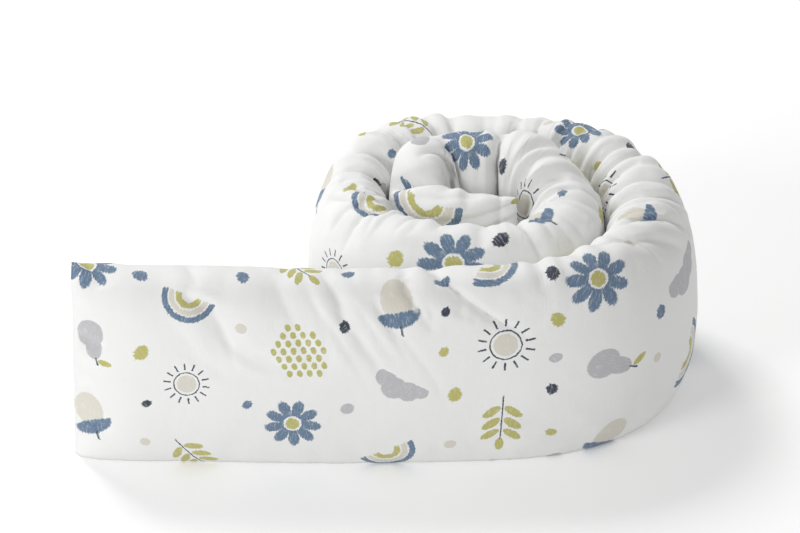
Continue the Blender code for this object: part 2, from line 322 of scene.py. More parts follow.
def plain_tube(along, share):
    """Points of the unfolded tube, how far each lies outwards, and each ring's bend and half width.

    Each ring is the unit section times half thickness and half height, set across the route. Half
    thickness rises from an end seam as a quarter circle. On the inner side of a tight bend it stays
    short of the bend's own middle. The crest leans inwards in proportion to the height.
    """
    x, y, heading, bend = route(along)
    across, up = section(share)
    knots, *columns = np.array(STATIONS).T
    thickness, height, lean = (eased(along, knots, column) for column in columns)
    from_end = np.clip(to_nearer_end(along) / END_RISE, 0, 1)
    swell = np.sqrt(1 - (1 - from_end) ** 2)
    outer = END_SEAM / 2 + (thickness - END_SEAM) / 2 * swell
    inner = np.minimum(outer, radius_of(bend) - INNER_ROOM)
    side = np.where(across > 0, np.outer(outer, across), np.outer(inner, across))
    z = np.outer((height + SINK) / 2, up) + ((height - SINK) / 2)[:, None]
    side = side - lean[:, None] * (z / height[:, None] - 0.5)
    points = np.empty((len(along), len(share), 3))
    points[..., 0] = x[:, None] + side * np.sin(heading)[:, None]
    points[..., 1] = y[:, None] - side * np.cos(heading)[:, None]
    points[..., 2] = np.maximum(z, 0)
    return points, side, bend, outer


def unit(vectors):
    """Vectors divided by their own lengths."""
    return vectors / np.maximum(np.linalg.norm(vectors, axis=-1, keepdims=True), 1e-12)


def own_ways(points):
    """Three unit directions at each point: outwards, down the tube and around it.

    Outwards is the cross product of the step around the ring and the step down the tube.
    """
    down = np.gradient(points, axis=0)
    around = np.roll(points, -1, axis=1) - np.roll(points, 1, axis=1)
    outwards = unit(np.cross(around, down))
    down = unit(down)
    return outwards, down, np.cross(down, outwards)


def reached_around(points):
    """Running length of each ring from its crest, with its whole length as one more column."""
    edges = np.linalg.norm(np.roll(points, -1, axis=1) - points, axis=2)
    return np.concatenate([np.zeros((len(points), 1)), np.cumsum(edges, axis=1)], axis=1)


def distance_around(points):
    """Distance of each point around its ring from the crest, outer side positive, inner negative."""
    reached = reached_around(points)
    whole = reached[:, -1:]
    return np.where(reached[:, :-1] <= whole / 2, reached[:, :-1], reached[:, :-1] - whole)


def thin_creases():
    """The thin creases as rows like the folds', without a round valley."""
    chance = np.random.default_rng(THIN_SEED)
    rows = []
    for part in THIN_CREASES:
        lows = THIN_LOW if part.along_from > STRAIGHT_TO else THIN_LOW_STRAIGHT
        for share in (np.arange(part.count) + chance.uniform(0, 1, part.count)) / part.count:
            start = part.along_from + share * (part.along_to - part.along_from)
            lean = part.lean_from + share * (part.lean_to - part.lean_from)
            lean = lean + chance.uniform(-THIN_TILT, THIN_TILT)
            low = chance.uniform(*lows)
            reach = chance.uniform(*THIN_REACH)
            bow = chance.uniform(*THIN_BOW)
            crisp = chance.uniform(*THIN_CRISP)
            tuck = chance.choice(THIN_TUCKS)
            rows.append(Fold(start, low, start + lean * reach, low + reach, 0.0, 0.01, bow, crisp, tuck))
    return rows


def fold_depths(along, around):
    """How deep the cover's folds are: the round valleys, and the narrow creases along their bottoms.

    u is the distance from a fold's line in half widths and v the same in CREASE_WIDTHs. The line's
    middle is pushed sideways as the parabola 4 t (1 - t), and both profiles taper to the ends as the
    square root of a sine. A round valley is exp(-root(u^2 + 0.2)) less a low swell on both sides,
    0.22 exp(-(|u| - 2.4)^2). A crease is exp(-root(v^2 + 0.05)). In a tuck they are multiplied by
    1 + tuck tanh(2 u) and 1 + tuck tanh(v).
    """
    round_valleys = np.zeros(np.broadcast(along, around).shape)
    creases = np.zeros_like(round_valleys)
    for row in (*FOLDS, *thin_creases()):
        run = np.array([row.along_to - row.along_from, row.around_to - row.around_from])
        length = np.hypot(*run)
        way = run / length
        forward = (along - row.along_from) * way[0] + (around - row.around_from) * way[1]
        share = np.clip(forward / length, 0, 1)
        beside = (around - row.around_from) * way[0] - (along - row.along_from) * way[1]
        beside = beside + row.bow * 4 * share * (1 - share)
        taper = np.sqrt(np.sin(math.pi * share))
        u = beside / row.half_width
        v = beside / CREASE_WIDTH
        swell = 0.22 * np.exp(-((np.abs(u) - 2.4) ** 2))
        dip = 1 + row.tuck * np.tanh(2 * u)
        round_valleys += row.depth * (np.exp(-np.sqrt(u * u + 0.2)) * dip - swell) * taper
        creases += row.crisp * np.exp(-np.sqrt(v * v + 0.05)) * (1 + row.tuck * np.tanh(v)) * taper
    return round_valleys, creases


def swells(along, around):
    """How far the stuffing rounds the cover out: a sum of bells exp(-(distance / reach)^2)."""
    total = np.zeros(np.broadcast(along, around).shape)
    for row in SWELLS:
        forward = (along - row.along) / row.reach_along
        beside = (around - row.around) / row.reach_around
        total += row.height * np.exp(-(forward**2 + beside**2))
    return total


GATHER_EDGE = 0.07  # distance around, on the outer side, where the gathers start
GATHER_RISE = 0.10  # distance over which they grow from there inwards
GATHER_SEED = 4
GATHER_WAVES = 60
GATHER_LENGTHS = (0.016, 0.045)
GATHER_SLANTS = (0.08, 0.30)
GATHER_MEAN = 0.03  # middle of the lengths, which the heights are measured by
GATHER_HEIGHT = 0.0008


def gathered(bend, around):
    """How much the cloth gathers, 0 to 1: on the crest and the inner side of a tight bend."""
    in_bend = np.clip(TIGHT_BEND * bend, 0, 1)
    return in_bend[:, None] * np.clip((GATHER_EDGE - around) / GATHER_RISE, 0, 1)


def gathers(along, around):
    """Small unevenness that the cloth buckles from, as a sum of slanting waves.

    Each wave is its length times the cosine of 2 pi (along / its length + around / its slant).
    """
    chance = np.random.default_rng(GATHER_SEED)
    total = np.zeros(around.shape)
    for _ in range(GATHER_WAVES):
        wave = chance.uniform(*GATHER_LENGTHS)
        slant = chance.uniform(*GATHER_SLANTS) * chance.choice([-1, 1])
        start = chance.uniform(0, 2 * math.pi)
        total += wave * np.cos(2 * math.pi * (along / wave + around / slant) + start)
    return total * GATHER_HEIGHT / (GATHER_MEAN * math.sqrt(GATHER_WAVES))


# The cloth and its stuffing.
FRAMES = 20
CLOTH_SETTINGS = {
    "quality": 6,
    "mass": 0.15,
    "tension_stiffness": 15.0,
    "compression_stiffness": 15.0,
    "shear_stiffness": 5.0,
    "bending_stiffness": 0.3,
    "air_damping": 2.0,
    "use_pressure": True,
    "uniform_pressure_force": 4.0,
    "vertex_group_mass": "held",
}
SPARE_IN_BENDS = 1.1  # spare length in a bend, as a share of bend times half thickness
SPARE_EVERYWHERE = 0.011  # spare length all along the tube, as a share
TAUT_PLACE = 0.515  # where the cloth is pulled tight as it enters the first bend
TAUT_REACH = 0.075
TAUT_SHARE = 0.7  # how much of the spare is pulled out there
SMOOTH_START = 0.08  # the outer end's smooth length, which keeps only the folds of the table
SLACK_START = 0.19  # where the cloth starts to be slack
DRIFT_LENGTH = 0.055  # the cover keeps the solid's own form over lengths longer than this
SPARE_AROUND = 1.02  # how much bigger the cut cover is around than the solid
START_DEPTH = 0.9  # how much of the folds' depth the cloth starts with
UNEVEN_EVERYWHERE = 0.25  # how uneven the cloth starts, as a share of the gathers' height
UNEVEN_IN_BENDS = 1.5  # what is added to that where it gathers

# How firmly the cloth is held, 0 to 1.
LOOSE_GRIP = 0.01
FLANK_GRIP = 0.35  # low on a flank that touches the next turn
SEAM_GRIP = 0.6  # on the ring beside an end seam
FLANK_FROM = 0.10  # distance around from the crest where a flank starts to be held
FLANK_RISE = 0.03  # distance over which that grows
INNER_TOUCHES = 0.33  # distance along from which the inner side touches a neighbour
OUTER_TOUCHES = 1.22
FLOOR_REACH = 0.02  # height at which the floor's hold ends


def stuffed(along, points, side, bend, outer):
    """Where the cover's points come to rest: Blender's Cloth on a tube of cloth filled by pressure.

    It starts at the plain tube with part of its folds, and rests at a straight tube whose rings are
    spread by 1 + spare * bend * half width, so there is too much cloth on the inner side of every
    bend and it gathers. The floor, the end seams and the flanks that touch a neighbour hold it.
    """
    outwards = own_ways(points)[0]
    away = distance_around(points)
    folds = fold_depths(along[:, None], away)[0]
    uneven = gathers(along[:, None], away) * (UNEVEN_EVERYWHERE + UNEVEN_IN_BENDS * gathered(bend, away))
    depth = folds * START_DEPTH + uneven * end_fade(along)[:, None]
    start = points - outwards * depth[..., None]

    taut = TAUT_SHARE * np.exp(-(((along - TAUT_PLACE) / TAUT_REACH) ** 2))
    spare = (SPARE_EVERYWHERE * slackness(along) + SPARE_IN_BENDS * bend * outer) * (1 - taut)
    spread = np.gradient(along) * (1 + spare)
    rest = np.empty_like(points)
    rest[..., 0] = running_sum(spread)[:, None]
    rest[..., 1] = -side * SPARE_AROUND
    rest[..., 2] = points[..., 2] * SPARE_AROUND

    mesh = bpy.data.meshes.new("cover_cloth")
    mesh.from_pydata(start.reshape(-1, 3).tolist(), [], tube_quads(*points.shape[:2]))
    cloth = linked("cover_cloth", mesh)
    cloth.shape_key_add(name="Basis")
    cut = cloth.shape_key_add(name="cut")
    cut.data.foreach_set("co", rest.reshape(-1).astype(np.float32))
    cut.value = 0
    held = cloth.vertex_groups.new(name="held")
    levels = np.round(held_grip(along, away, points[..., 2]), 2)
    for level in np.unique(levels):
        held.add(np.flatnonzero(levels == level).tolist(), float(level), "REPLACE")

    made = cloth.modifiers.new("Cloth", "CLOTH")
    made.collision_settings.use_collision = False
    made.point_cache.frame_end = FRAMES + 1
    settings = made.settings
    for name, value in CLOTH_SETTINGS.items():
        setattr(settings, name, value)
    settings.effector_weights.gravity = 0
    settings.rest_shape_key = cut
    scene = bpy.context.scene
    scene.frame_start = 1
    scene.frame_end = FRAMES
    for number in range(1, FRAMES + 1):
        scene.frame_set(number)
    shaped = cloth.evaluated_get(bpy.context.evaluated_depsgraph_get()).to_mesh()
    settled = np.empty(points.size, np.float32)
    shaped.vertices.foreach_get("co", settled)
    scene.frame_set(1)
    bpy.data.objects.remove(cloth)
    return settled.reshape(points.shape).astype(float)


def slackness(along):
    """0 on the outer end's smooth length, rising as a cosine to 1 where the cloth is slack."""
    share = np.clip((along - SMOOTH_START) / (SLACK_START - SMOOTH_START), 0, 1)
    return (1 - np.cos(math.pi * share)) / 2


def without_drift(along, steps):
    """The steps less their own bell-weighted mean over DRIFT_LENGTH along the tube.

    What stays is the folds. The cover's broad form is then the solid's.
    """
    apart = (along[:, None] - along[None, :]) / DRIFT_LENGTH
    weights = np.exp(-(apart**2)) * np.gradient(along)
    weights = weights / weights.sum(axis=1, keepdims=True)
    mean = (weights @ steps.reshape(len(along), -1)).reshape(steps.shape)
    return steps - mean


def end_fade(along):
    """0 at the two end seams and 1 from SEAM_FADE inwards."""
    return np.clip(to_nearer_end(along) / SEAM_FADE, 0, 1)


def held_grip(along, away, z):
    """How firmly each point of the cloth is held, 0 to 1: underside, touching flanks and end seams."""
    low_flank = np.clip((np.abs(away) - FLANK_FROM) / FLANK_RISE, 0, 1)
    inner_touches = (away < 0) & (along[:, None] > INNER_TOUCHES)
    outer_touches = (away > 0) & (along[:, None] > OUTER_TOUCHES)
    flanks = low_flank * np.where(inner_touches | outer_touches, FLANK_GRIP, 0)
    on_floor = np.clip((FLOOR_REACH - z) / FLOOR_REACH, 0, 1)
    grip = np.maximum(np.maximum(flanks, on_floor), LOOSE_GRIP)
    grip[[0, -1]] = 1
    grip[[1, -2]] = np.maximum(grip[[1, -2]], SEAM_GRIP)
    return grip


def resized(values, rings, around):
    """A grid of values on another grid: a Catmull-Rom cubic along the tube, then one around it."""
    for axis, count in ((0, rings), (1, around)):
        rows = np.moveaxis(values, axis, 0)
        had = len(rows)
        place = np.linspace(0, had - 1, count) if axis == 0 else np.arange(count) * had / count
        low = np.floor(place).astype(int)
        t = (place - low).reshape((-1,) + (1,) * (rows.ndim - 1))
        near = low[None, :] + np.arange(-1, 3)[:, None]
        near = np.clip(near, 0, had - 1) if axis == 0 else near % had
        weights = (
            ((2 - t) * t - 1) * t / 2,
            ((3 * t - 5) * t * t + 2) / 2,
            ((4 - 3 * t) * t + 1) * t / 2,
            (t - 1) * t * t / 2,
        )
        values = np.moveaxis(sum(w * rows[n] for w, n in zip(weights, near)), 0, axis)
    return values


def linked(name, data):
    """A new object in the scene, made of a mesh, a light or a camera."""
    item = bpy.data.objects.new(name, data)
    bpy.context.scene.collection.objects.link(item)
    return item


def tube_quads(rings, around):
    """Quads between neighbouring rings of points, faces outwards."""
    ring, spot = np.meshgrid(np.arange(rings - 1), np.arange(around), indexing="ij")
    here = ring * around + spot
    beside = ring * around + (spot + 1) % around
    return np.stack([here, beside, beside + around, here + around], axis=-1).reshape(-1, 4).tolist()


CRISPER = 1.3  # how much deeper than in the table the narrow creases are drawn
MOST_SWELL = 0.016  # how far the cover may stand out from the plain tube
MOST_SINK = 0.022  # how far it may sink into it
SHARE_OF_HALF_WIDTH = 0.7  # how much of the tube's half width a fold may take
SHARE_OF_GAP = 0.45  # how much of the gap to the next turn each of the two may fill
FACING_SPREAD = 5  # how many columns higher and lower the next turn is looked at as well
NEAR_TURN = 0.14  # points less far apart along the tube than this are the same turn
SHARE_TO_MIDDLE = 0.85  # how much of the way to the bend's own middle the inner side may fill


def room_outwards(along, points, side, bend):
    """How far each point may move outwards before it meets a neighbouring turn.

    The gap is measured on the floor plan between each column of points and the columns of about the
    same height on the other side, on all turns but its own. On the inner side of a bend the room
    is also a share of the distance to the bend's own middle.
    """
    around = points.shape[1]
    plan = points[..., 0] + 1j * points[..., 1]  # each place on the floor plan as one complex number
    own_turn = np.abs(along[:, None] - along[None, ::2]) < NEAR_TURN
    room = SHARE_TO_MIDDLE * np.maximum(radius_of(bend)[:, None] + side, 0)
    for column in range(around):
        for shift in (-FACING_SPREAD, 0, FACING_SPREAD):
            far = np.abs(plan[:, column, None] - plan[None, ::2, (shift - column) % around])
            gap = np.where(own_turn, np.inf, far).min(axis=1)
            room[:, column] = np.minimum(room[:, column], SHARE_OF_GAP * gap)
    return room


FLUTTER_REACH = 0.016  # length from an end seam over which its flutter falls to a third
FLUTTER = ((0.0016, 0.110, 0.9), (0.0011, 0.046, 2.2))  # height, wavelength and start of each wave
FLUTTER_RISE = 0.03  # height above the floor over which it grows


def seam_flutter(along, plain):
    """How far the two flat end seams wave to the side, both faces together.

    A sum of sines of the height, times exp(-distance to the end), across the tube's own heading.
    """
    fade = np.exp(-to_nearer_end(along) / FLUTTER_REACH)[:, None]
    z = plain[..., 2]
    lifted = np.clip(z / FLUTTER_RISE, 0, 1)
    wave = sum(high * np.sin(2 * math.pi * z / length + start) for high, length, start in FLUTTER)
    heading = route(along)[2][:, None, None]
    across = np.concatenate([np.sin(heading), -np.cos(heading), np.zeros_like(heading)], axis=-1)
    return (wave * fade * lifted)[..., None] * across


OUTWARDS = np.array([1.0, 0.0, 0.0])  # a step along the first of a point's own three directions


def finished_cover():
    """Distances along, the cover's points on the fine grid, the plain tube's, and its gathering.

    How far the simulated cloth moved is taken along its own three directions on the coarse grid,
    resized to the fine grid and laid off there along the fine grid's own. The outer end's smooth
    length has only the table's folds. Swells and creases come last.
    """
    along = ring_places(COVER_RINGS)
    share = outline_shares(COVER_AROUND)
    plain, side, bend, outer = plain_tube(along, share)
    away = distance_around(plain)
    ways = own_ways(plain)
    folds, creases = fold_depths(along[:, None], away)
    moved = -folds[..., None] * OUTWARDS
    cloth_along = ring_places(CLOTH_RINGS)
    tube, cloth_side, cloth_bend, cloth_outer = plain_tube(cloth_along, outline_shares(CLOTH_AROUND))
    step = stuffed(cloth_along, tube, cloth_side, cloth_bend, cloth_outer) - tube
    steps = np.stack([(step * way).sum(axis=-1) for way in own_ways(tube)], axis=-1)
    steps = resized(without_drift(cloth_along, steps), COVER_RINGS, COVER_AROUND)
    slack = slackness(along)[:, None, None]
    moved = slack * steps + (1 - slack) * moved
    moved[..., 0] += swells(along[:, None], away) - CRISPER * creases
    room = np.minimum(room_outwards(along, plain, side, bend), MOST_SWELL)
    deepest = np.minimum(MOST_SINK, SHARE_OF_HALF_WIDTH * outer)[:, None]
    moved[..., 0] = np.clip(moved[..., 0], -deepest, room)
    points = plain + sum(moved[..., k : k + 1] * ways[k] for k in range(3))
    points = points + seam_flutter(along, plain)
    points[..., 2] = np.maximum(points[..., 2], 0)
    return along, points, plain, gathered(bend, away)


EDGE_ROUNDING = 0.002  # how far the rounded edge of an end seam stands past the last ring
EDGE_RINGS = ((0.75, 0.6), (0.30, 1.0))  # each ring's share of the last one's width, and of that length


def rounded_end(ring, before):
    """More rings that round an end off, each narrower and further out."""
    mirrored = np.roll(ring[::-1], 1, axis=0)
    middle = (ring + mirrored) / 2
    way = unit(ring.mean(axis=0) - before.mean(axis=0))
    way[2] = 0
    return [middle + (ring - middle) * wide + way * EDGE_ROUNDING * out for wide, out in EDGE_RINGS]


def cover_mesh(along, points, plain, gather):
    """The closed cover: quads between rings, and quads between the two sides over each end seam.

    The UV map is the distance along and the distance around in metres. It is cut along the
    underside, where the outer and the inner side's distances meet. The attribute "gathered" says
    how much the cloth gathers at each point.
    """
    start = rounded_end(points[0], points[1])[::-1]
    end = rounded_end(points[-1], points[-2])
    points = np.concatenate([start, points, end])
    rings, around = points.shape[:2]
    extra = ((len(start), len(end)), (0, 0))
    at = np.pad(along, extra[0], mode="edge")
    reached = np.pad(reached_around(plain), extra, mode="edge")
    gather = np.pad(gather, extra, mode="edge")

    up = np.arange(1, around // 2 - 1)
    over = np.stack([up, around - up, around - up - 1, up + 1], axis=-1)
    last = (rings - 1) * around
    half = around // 2
    ends = over.tolist() + (last + over[:, ::-1]).tolist()
    ends += [[0, around - 1, 1], [half - 1, half + 1, half]]
    ends += [[last + 1, last + around - 1, last], [last + half, last + half + 1, last + half - 1]]

    mesh = bpy.data.meshes.new("bumper_cover")
    mesh.from_pydata(points.reshape(-1, 3).tolist(), [], tube_quads(rings, around) + ends)

    whole = reached[:, -1:]
    outer_side = np.arange(around) < half
    near = np.where(outer_side, reached[:, :-1], reached[:, :-1] - whole)
    far = np.where(outer_side, reached[:, 1:], reached[:, 1:] - whole)
    corners = np.stack([near[:-1], far[:-1], far[1:], near[1:]], axis=-1)
    lengths = np.stack([at[:-1], at[:-1], at[1:], at[1:]], axis=-1)[:, None, :]
    uv = np.stack([np.broadcast_to(lengths, corners.shape), corners], axis=-1).reshape(-1, 2)
    end_corners = np.array([corner for face in ends for corner in face])
    mirrored = np.minimum(end_corners % around, around - end_corners % around)
    end_uv = np.stack([at[end_corners // around], reached[end_corners // around, mirrored]], axis=-1)
    layer = mesh.uv_layers.new(name="cover")
    layer.data.foreach_set("uv", np.concatenate([uv, end_uv]).reshape(-1).astype(np.float32))
    spread = mesh.attributes.new("gathered", "FLOAT", "POINT")
    spread.data.foreach_set("value", gather.reshape(-1).astype(np.float32))
    mesh.shade_smooth()
    mesh.validate()
    return mesh


class Value:
    """A number, vector or colour in a material. Sums with it add nodes to the material's tree."""

    def __init__(self, tree, socket):
        self.tree = tree
        self.socket = socket

    def __add__(self, other):
        return math_node("ADD", self, other)

    def __radd__(self, other):
        return math_node("ADD", other, self)

    def __sub__(self, other):
        return math_node("SUBTRACT", self, other)

    def __rsub__(self, other):
        return math_node("SUBTRACT", other, self)

    def __mul__(self, other):
        return math_node("MULTIPLY", self, other)

    def __truediv__(self, other):
        return math_node("DIVIDE", self, other)

    def __pow__(self, other):
        return math_node("POWER", self, other)

    def __mod__(self, other):
        return math_node("FLOORED_MODULO", self, other)

    def __abs__(self):
        return math_node("ABSOLUTE", self)


def feed(node, inputs):
    """Puts numbers, colours or Values into a node's inputs."""
    for name, value in inputs.items():
        if isinstance(value, Value):
            node.id_data.links.new(value.socket, node.inputs[name])
        else:
            node.inputs[name].default_value = value


def new_node(kind, inputs, tree=None, **settings):
    """A new node of a kind, fed with its inputs."""
    tree = tree or next(value.tree for value in inputs.values() if isinstance(value, Value))
    made = tree.nodes.new(kind)
    count = len(tree.nodes)
    made.location = (-2400 + 170 * (count % 24), 1600 - 150 * (count // 24))
    for name, value in settings.items():
        setattr(made, name, value)
    feed(made, inputs)
    return made


def output(node, which=0):
    """One of a node's outputs as a Value."""
    return Value(node.id_data, node.outputs[which])


def math_node(operation, *values):
    """One sum, as a Value."""
    return output(new_node("ShaderNodeMath", dict(enumerate(values)), operation=operation))


def lowest(first, *others):
    """The smallest of several values."""
    for other in others:
        first = math_node("MINIMUM", first, other)
    return first


def highest(first, *others):
    """The largest of several values."""
    for other in others:
        first = math_node("MAXIMUM", first, other)
    return first


def distance(x, y):
    """Length of the vector (x, y)."""
    return math_node("SQRT", x * x + y * y)


def floored(value):
    """The whole number at or below a value."""
    return math_node("FLOOR", value)


def falling(value):
    """1 where a value is zero, falling as e to the power of minus the value."""
    return math_node("EXPONENT", value * -1.0)


def angle_of(x, y):
    """The angle of the vector (x, y)."""
    return math_node("ARCTAN2", y, x)


def ramp(value, start, end, low=0.0, high=1.0):
    """Smooth step of a value from low at start to high at end."""
    inputs = {"Value": value, "From Min": start, "From Max": end, "To Min": low, "To Max": high}
    return output(new_node("ShaderNodeMapRange", inputs, interpolation_type="SMOOTHSTEP"), "Result")


def within(value, soft=0.05):
    """1 where a value is below 1 and 0 above it, over a soft edge."""
    return ramp(value, 1 + soft, 1 - soft)


def vector(x, y, z=0.0):
    """The vector (x, y, z)."""
    return output(new_node("ShaderNodeCombineXYZ", {0: x, 1: y, 2: z}))


def chances(x, y, z):
    """Three even chances, 0 to 1, that are the same wherever x, y and z are."""
    drawn = new_node("ShaderNodeTexWhiteNoise", {"Vector": vector(x, y, z)}, noise_dimensions="3D")
    split = new_node("ShaderNodeSeparateColor", {0: output(drawn, "Color")})
    return [output(split, channel) for channel in range(3)]


def noise(at, scale, detail=2.0, roughness=0.5):
    """Smooth noise about one half."""
    inputs = {"Vector": at, "Scale": scale, "Detail": detail, "Roughness": roughness}
    return output(new_node("ShaderNodeTexNoise", inputs, noise_dimensions="3D"), "Fac")


def turned(x, y, angle):
    """(x, y) seen in axes turned by the angle."""
    cosine = math_node("COSINE", angle)
    sine = math_node("SINE", angle)
    return x * cosine + y * sine, y * cosine - x * sine


def oval(x, y, middle, radii, turn=0.0):
    """1 on the edge of an oval, less inside it: length of (x / radius, y / radius)."""
    across = x - middle[0]
    up = y - middle[1]
    if turn:
        sine, cosine = math.sin(math.radians(turn)), math.cos(math.radians(turn))
        across, up = across * cosine + up * sine, up * cosine - across * sine
    return distance(across / radii[0], up / radii[1])


def stroke(beside, half_width):
    """1 on the edge of a line drawn with that half width, given the distance from its middle."""
    return abs(beside) / half_width


def blend(share, first, second):
    """Colour from first to second as share goes from 0 to 1."""
    return output(new_node("ShaderNodeMix", {0: share, 6: first, 7: second}, data_type="RGBA"), 2)


# Inks and ground, linear red, green, blue.
WHITE_COTTON = (0.855, 0.858, 0.850, 1)
GREYER_COTTON = (0.835, 0.838, 0.826, 1)
INKS = {
    "sand": (0.680, 0.650, 0.570, 1),
    "lilac": (0.500, 0.495, 0.515, 1),
    "slate": (0.126, 0.198, 0.298, 1),
    "olive": (0.490, 0.465, 0.150, 1),
    "navy": (0.040, 0.050, 0.075, 1),
}

# The print repeats in staggered columns.
COLUMN = 0.1017  # width of a column, along the tube
ROW = 0.0905  # height of a motif's place, around the tube
COLUMN_START = 0.030
ROW_START = 0.052
MOTIF_TURN = 2.2  # angle over which chance turns a motif
MOTIF_JOG = (0.016, 0.012)  # lengths along and around over which chance moves one
MOTIF_SIZES = (0.86, 0.24)  # the smallest, and what chance adds at most
SPOT_ROW = ROW / 2
SPOT_ROW_START = 0.013
SPOT_JOG = (0.012, 0.022)
SPOT_SIZES = (0.62, 0.46)
SMOOTH_SPOT = (0.0080, 0.0068)  # radii
DRY_SPOT = (0.0084, 0.0066)
SPOT_INKS = ("olive", "slate", "sand", "lilac", "olive", "navy")
SMOOTH_INKS = ("sand", "lilac")  # those whose spots have smooth edges
SPOT_SHARE = 0.11  # share of the spots' places for each of SPOT_INKS; the rest stay empty
SPOT_START = 0.06  # middle of the first one's share
SPOT_EDGE = 0.06  # how soft a spot's edge is

# How the brush leaves its edges.
WANDER = 0.0009  # how far a drawn outline wanders
BRUSH_TEETH = 0.0046  # how far the teeth of a dry brush reach along its strokes
BRUSH_FRAY = 0.0020  # how far they reach to the side
SPIKES = 1.15  # how far the spikes of a dry spot reach, as a share of its radius


def daisy(x, y):
    """Nine round petals, where the radius is under a power of |cos 4.5 angle|, and a round heart."""
    radius = distance(x, y)
    swing = abs(math_node("COSINE", angle_of(x, y) * 4.5))
    petals = within(radius / (0.010 + swing**0.45 * 0.022))
    return {"slate": petals * ramp(radius, 0.0098, 0.0106), "olive": ramp(radius, 0.0080, 0.0073)}


def sprig(x, y):
    """A thin stem with three pairs of oval leaves and one at its tip."""
    beside = abs(x)
    leaves = [oval(beside, y, (0.0105, height), (0.0105, 0.0044), 38) for height in (-0.012, 0.002, 0.015)]
    leaves.append(oval(x, y, (0, 0.029), (0.0042, 0.0085)))
    stem = highest(stroke(x, 0.0007), stroke(y + 0.004, 0.027))
    return {"olive": within(lowest(*leaves)), "navy": within(stem)}


def acorn(x, y):
    """An oval nut under half of a wider oval, with a short stem."""
    nut = within(oval(x, y, (0, -0.008), (0.0150, 0.0200)))
    cup = within(oval(x, y, (0, 0.0050), (0.0200, 0.0150)))
    above = ramp(y, 0.0040, 0.0050)
    stem = highest(stroke(x, 0.0011), stroke(y - 0.023, 0.0050))
    return {"sand": nut * (1.0 - above), "slate": cup * above, "navy": within(stem)}


def cloud(x, y):
    """Four round puffs on a straight base."""
    puffs = (
        oval(x, y, (-0.020, -0.002), (0.0110, 0.0105)),
        oval(x, y, (-0.006, 0.005), (0.0140, 0.0135)),
        oval(x, y, (0.010, 0.002), (0.0125, 0.0120)),
        oval(x, y, (0.022, -0.004), (0.0090, 0.0085)),
    )
    return {"lilac": within(lowest(*puffs)) * ramp(y, -0.0105, -0.0095)}


SEED_STEP = (0.0105, 0.0092)  # distance from seed to seed along a row, and from row to row


def seeds(x, y):
    """Small ovals in staggered rows, kept where their middles lie in a big oval."""
    row = floored(y / SEED_STEP[1])
    shift = row % 2.0 * 0.5
    column_at = x / SEED_STEP[0] + shift
    column = floored(column_at)
    across = (column_at - column - 0.5) * SEED_STEP[0]
    up = (y / SEED_STEP[1] - row - 0.5) * SEED_STEP[1]
    seed = within(oval(across, up, (0, 0), (0.0043, 0.0031), 20), 0.08)
    middle = ((column + 0.5 - shift) * SEED_STEP[0], (row + 0.5) * SEED_STEP[1])
    inside = math_node("LESS_THAN", oval(*middle, (0, 0), (0.0360, 0.0270)), 1.0)
    return {"olive": seed * inside}


def sun(x, y):
    """A disc inside a thin ring with fourteen short rays."""
    radius = distance(x, y)
    disc = ramp(radius, 0.0112, 0.0104)
    ring = within(stroke(radius - 0.0140, 0.0007), 0.15)
    sideways = math_node("SINE", angle_of(x, y) * 7.0) * (radius / 7.0)
    rays = highest(stroke(sideways, 0.0009), stroke(radius - 0.0215, 0.0040))
    return {"sand": disc, "navy": highest(ring, within(rays, 0.15))}


def pear(x, y):
    """A round body, a smaller neck, a stem and one leaf."""
    body = lowest(oval(x, y, (0, -0.009), (0.0165, 0.0160)), oval(x, y, (0, 0.007), (0.0095, 0.0150)))
    leaf = oval(x, y, (0.0085, 0.0285), (0.0080, 0.0036), 28)
    stem = highest(stroke(x, 0.0010), stroke(y - 0.0250, 0.0050))
    return {"lilac": within(body), "olive": within(leaf), "navy": within(stem)}


def arches(x, y):
    """Three half rings, one inside another."""
    lifted = y + 0.0130
    radius = distance(x, lifted)
    above = ramp(lifted, -0.0005, 0.0005)
    bands = (("slate", 0.0285, 0.0033), ("sand", 0.0205, 0.0030), ("olive", 0.0120, 0.0034))
    return {ink: within(stroke(radius - middle, half)) * above for ink, middle, half in bands}


# Each motif, and how dry the brush is that fills it: 1 for toothed edges, 0 for smooth ones.
MOTIFS = (
    (daisy, 1.0),
    (cloud, 0.2),
    (sprig, 0.5),
    (pear, 0.2),
    (arches, 0.9),
    (seeds, 0.25),
    (acorn, 0.8),
    (sun, 0.25),
)


def spiked(x, y):
    """About 1, with quick steps up and down on the way round: the short strokes at a spot's edge."""
    radius = distance(x, y) + 0.0001
    way = vector(x / radius, y / radius, radius * 30.0)
    return 1.0 + (noise(way, 6.5, 2.0, 0.75) - 0.5) * SPIKES


def from_middle(at, cell, width, moved, jog):
    """Distance from the middle of a cell of that width, which chance moves over the length jog."""
    return (at - cell - 0.5) * width - (moved - 0.5) * jog


